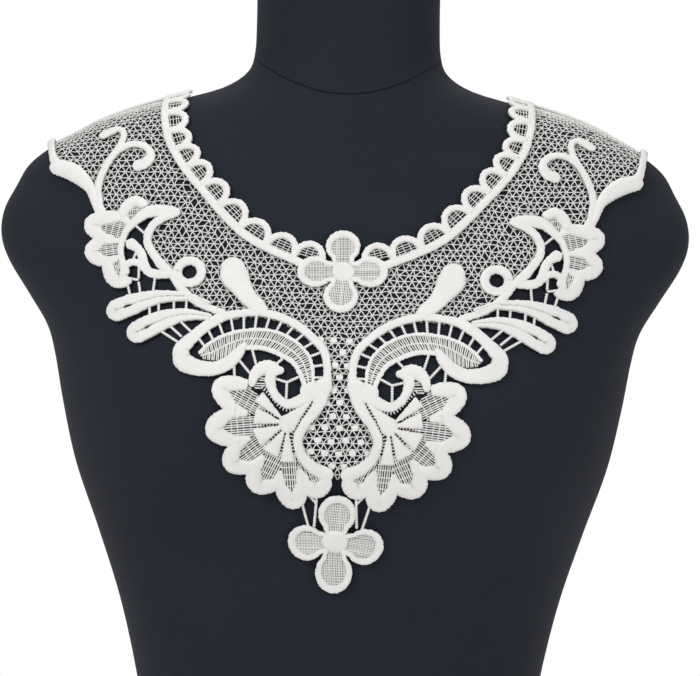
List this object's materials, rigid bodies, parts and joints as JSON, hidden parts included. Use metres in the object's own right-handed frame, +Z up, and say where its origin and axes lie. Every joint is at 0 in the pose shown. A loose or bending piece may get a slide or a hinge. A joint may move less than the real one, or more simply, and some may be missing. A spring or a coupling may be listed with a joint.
{
  "type": "lace neckline applique on a limbless dress form",
  "caption": "Off-white guipure lace neckline applique with a scalloped edge, scrolls, fans and flowers, lying on a smooth limbless dress form.",
  "frame": {"origin": "middle of the dress form's flat base, under the middle of the whole object's width and depth", "axes": "+Z up, the front of the form and the lace's point face -Y, +X to the right as seen from the front"},
  "size_m": [0.412, 0.2544, 0.575],
  "materials": {
    "lace_thread": "off-white satin-stitched polyester thread with a soft sheen",
    "lace_net": "off-white fine thread net",
    "form_cloth": "near-black navy knit stretched over the form, matt"
  },
  "bodies": {
    "root": {"arch_left": "lace_thread", "arch_right": "lace_thread", "drop_left": "lace_thread", "drop_right": "lace_thread", "fan_left": "lace_thread", "fan_right": "lace_thread", "feathers_left": "lace_thread", "feathers_right": "lace_thread", "flower_pendant": "lace_thread", "flower_top": "lace_thread", "loop_left": "lace_thread", "loop_right": "lace_thread", "neck_edging_left": "lace_thread", "neck_edging_right": "lace_thread", "shell_left": "lace_thread", "shell_right": "lace_thread", "sprig_left": "lace_thread", "sprig_right": "lace_thread", "net_ground": "lace_net", "form_torso": "form_cloth"}
  },
  "joints": []
}
